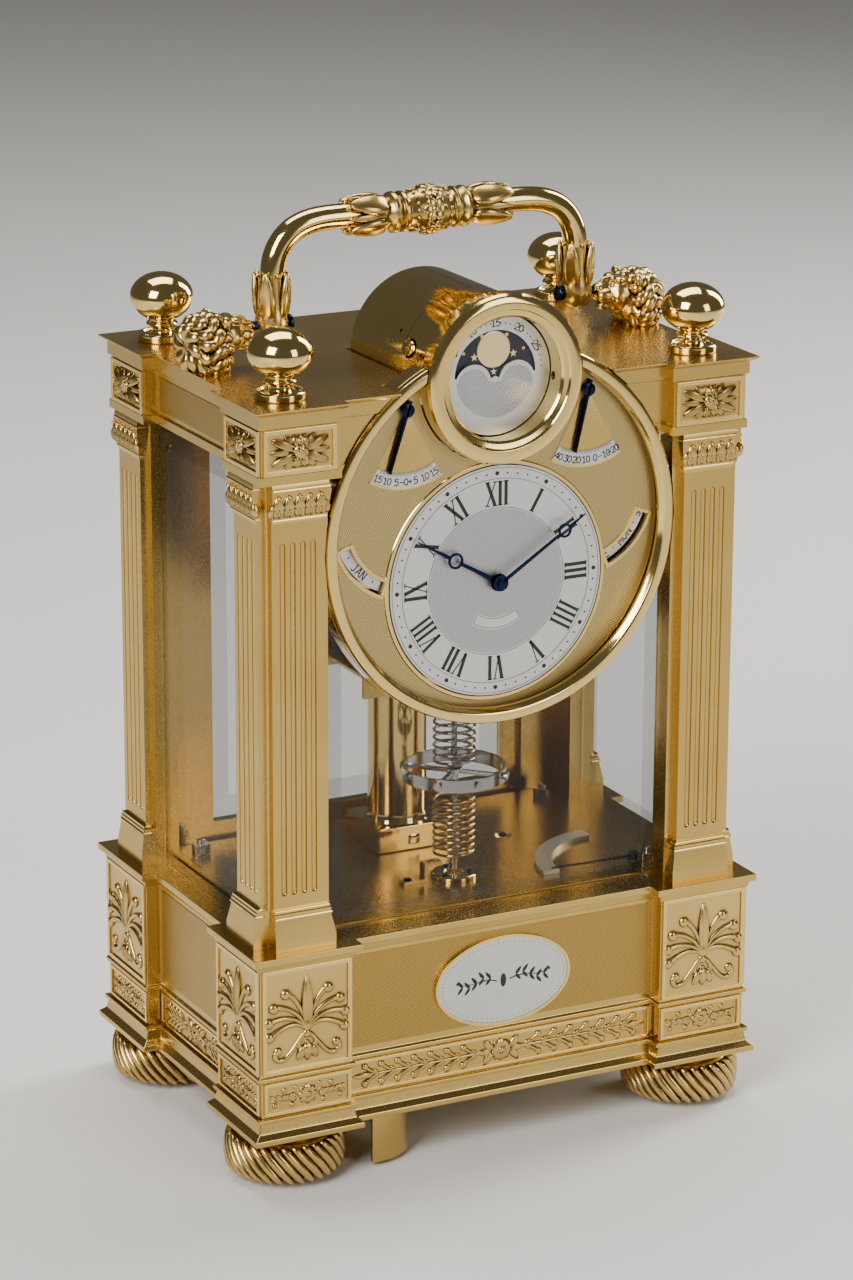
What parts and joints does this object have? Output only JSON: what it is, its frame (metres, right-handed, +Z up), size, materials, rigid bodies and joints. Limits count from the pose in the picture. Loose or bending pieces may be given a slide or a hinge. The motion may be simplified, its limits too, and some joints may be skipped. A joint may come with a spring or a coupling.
{
  "type": "four-glass mantel clock",
  "caption": "Gilt mantel clock on bun feet: glazed case with fluted pillars, round dial, balance with coil springs on show, watch dock, ball finials and folding handle.",
  "frame": {"origin": "on the surface the clock stands on, under the middle of the base", "axes": "+Z up, -Y towards someone looking at the dial, +X to their right"},
  "size_m": [0.204, 0.143, 0.3356],
  "materials": {
    "gilt_brass": "satin gilt",
    "polished_brass": "polished gilt",
    "cast_brass": "chased and gilt casting",
    "silvered_brass": "matt silvered brass",
    "blued_steel": "polished and heat blued",
    "bright_steel": "polished",
    "moon_enamel": "enamelled",
    "glass": "clear, bevelled edges"
  },
  "bodies": {
    "root": {"foot_front_left": "cast_brass", "pillar_front_left": "gilt_brass", "finial_front_left": "polished_brass", "foot_front_right": "cast_brass", "pillar_front_right": "gilt_brass", "finial_front_right": "polished_brass", "foot_rear_left": "cast_brass", "pillar_rear_left": "gilt_brass", "finial_rear_left": "polished_brass", "foot_rear_right": "cast_brass", "pillar_rear_right": "gilt_brass", "finial_rear_right": "polished_brass", "plinth_moulding": "gilt_brass", "base_case": "gilt_brass", "base_cornice": "gilt_brass", "floor_plate": "gilt_brass", "entablature": "gilt_brass", "top_plate": "gilt_brass", "dial_case": "gilt_brass", "dial_plate": "gilt_brass", "movement_front_plate": "gilt_brass", "movement_back_plate": "gilt_brass", "support_column": "gilt_brass", "lower_balance_spring": "gilt_brass", "lower_pivot_disc": "gilt_brass", "spring_bracket": "gilt_brass", "dock_bezel": "polished_brass", "dock_cover": "polished_brass", "dial_bezel": "polished_brass", "lion_head_left": "cast_brass", "lion_head_right": "cast_brass", "oval_plaque": "silvered_brass", "moon_mask": "silvered_brass", "chapter_dial": "silvered_brass", "regulation_scale": "silvered_brass", "handle_pivot_left": "blued_steel", "handle_pivot_right": "blued_steel", "upper_balance_spring": "bright_steel", "front_glass": "glass", "left_glass": "glass", "right_glass": "glass"},
    "handle": {"carrying_handle": "polished_brass"},
    "door": {"door_frame": "gilt_brass", "door_glass": "glass"},
    "catch": {"door_catch": "gilt_brass"},
    "minute": {"centre_wheel": "gilt_brass", "minute_hand": "blued_steel"},
    "hour": {"hour_hand": "blued_steel"},
    "barrel": {"spring_barrel": "gilt_brass"},
    "third": {"third_wheel": "gilt_brass"},
    "escape": {"escape_wheel": "gilt_brass"},
    "balance": {"balance_wheel": "bright_steel"},
    "equation": {"equation_pointer": "blued_steel"},
    "temperature": {"temperature_pointer": "blued_steel"},
    "weekday": {"weekday_disc": "silvered_brass"},
    "month": {"month_disc": "silvered_brass"},
    "moon": {"moon_disc": "moon_enamel"},
    "regulator": {"regulation_pointer": "blued_steel"},
    "lever": {"silent_lever": "gilt_brass"},
    "button": {"dock_button": "gilt_brass"}
  },
  "joints": [
    {"name": "handle_fold", "type": "hinge", "parent": "root", "child": "handle", "pos_m": [0, 0, 0.2925], "axis": [1, 0, 0], "range_deg": [-88, 48]},
    {"name": "door_swing", "type": "hinge", "parent": "root", "child": "door", "pos_m": [-0.0667, 0.0629, 0.17], "axis": [0, 0, 1], "range_deg": [0, 105]},
    {"name": "door_catch_turn", "type": "hinge", "parent": "door", "child": "catch", "pos_m": [0.0632, 0.058, 0.17], "axis": [0, 1, 0], "range_deg": [0, 90]},
    {"name": "minute_arbor", "type": "hinge", "parent": "root", "child": "minute", "pos_m": [0, -0.05, 0.2066], "axis": [0, 1, 0], "continuous": true},
    {"name": "hour_pipe", "type": "hinge", "parent": "root", "child": "hour", "pos_m": [0, -0.055, 0.2066], "axis": [0, 1, 0], "continuous": true},
    {"name": "barrel_arbor", "type": "hinge", "parent": "root", "child": "barrel", "pos_m": [0.0215, -0.03, 0.19155], "axis": [0, 1, 0], "continuous": true},
    {"name": "third_arbor", "type": "hinge", "parent": "root", "child": "third", "pos_m": [-0.01188, -0.03, 0.21848], "axis": [0, 1, 0], "continuous": true},
    {"name": "escape_arbor", "type": "hinge", "parent": "root", "child": "escape", "pos_m": [-0.02227, -0.03, 0.21248], "axis": [0, 1, 0], "continuous": true},
    {"name": "balance_staff", "type": "hinge", "parent": "root", "child": "balance", "pos_m": [0, -0.0234, 0.125], "axis": [0, 0, 1], "range_deg": [-135, 135], "stiffness_Nm_per_rad": 0.0016},
    {"name": "equation_pivot", "type": "hinge", "parent": "root", "child": "equation", "pos_m": [-0.035, -0.055, 0.2713], "axis": [0, 1, 0], "range_deg": [-46, 11]},
    {"name": "temperature_pivot", "type": "hinge", "parent": "root", "child": "temperature", "pos_m": [0.035, -0.055, 0.2713], "axis": [0, 1, 0], "range_deg": [-41, 16]},
    {"name": "weekday_spin", "type": "hinge", "parent": "root", "child": "weekday", "pos_m": [0.0335, -0.051, 0.2335], "axis": [0, 1, 0], "continuous": true},
    {"name": "month_spin", "type": "hinge", "parent": "root", "child": "month", "pos_m": [-0.0335, -0.051, 0.2335], "axis": [0, 1, 0], "continuous": true},
    {"name": "moon_spin", "type": "hinge", "parent": "root", "child": "moon", "pos_m": [0, -0.05, 0.2794], "axis": [0, 1, 0], "continuous": true},
    {"name": "regulator_turn", "type": "hinge", "parent": "root", "child": "regulator", "pos_m": [0.0652, -0.0395, 0.09], "axis": [0, 0, 1], "range_deg": [-82, 1]},
    {"name": "lever_turn", "type": "hinge", "parent": "root", "child": "lever", "pos_m": [-0.05, -0.043, 0.01], "axis": [0, 0, 1], "range_deg": [-5, 30]},
    {"name": "button_press", "type": "slide", "parent": "root", "child": "button", "axis": [0.9353, 0, -0.3538], "range_m": [0, 0.0015], "stiffness_N_per_m": 300}
  ],
  "couplings": [
    {"joint": "hour_pipe", "follows": "minute_arbor", "ratio": 0.083333},
    {"joint": "barrel_arbor", "follows": "minute_arbor", "ratio": -0.16667},
    {"joint": "third_arbor", "follows": "minute_arbor", "ratio": -6},
    {"joint": "escape_arbor", "follows": "minute_arbor", "ratio": 30}
  ]
}
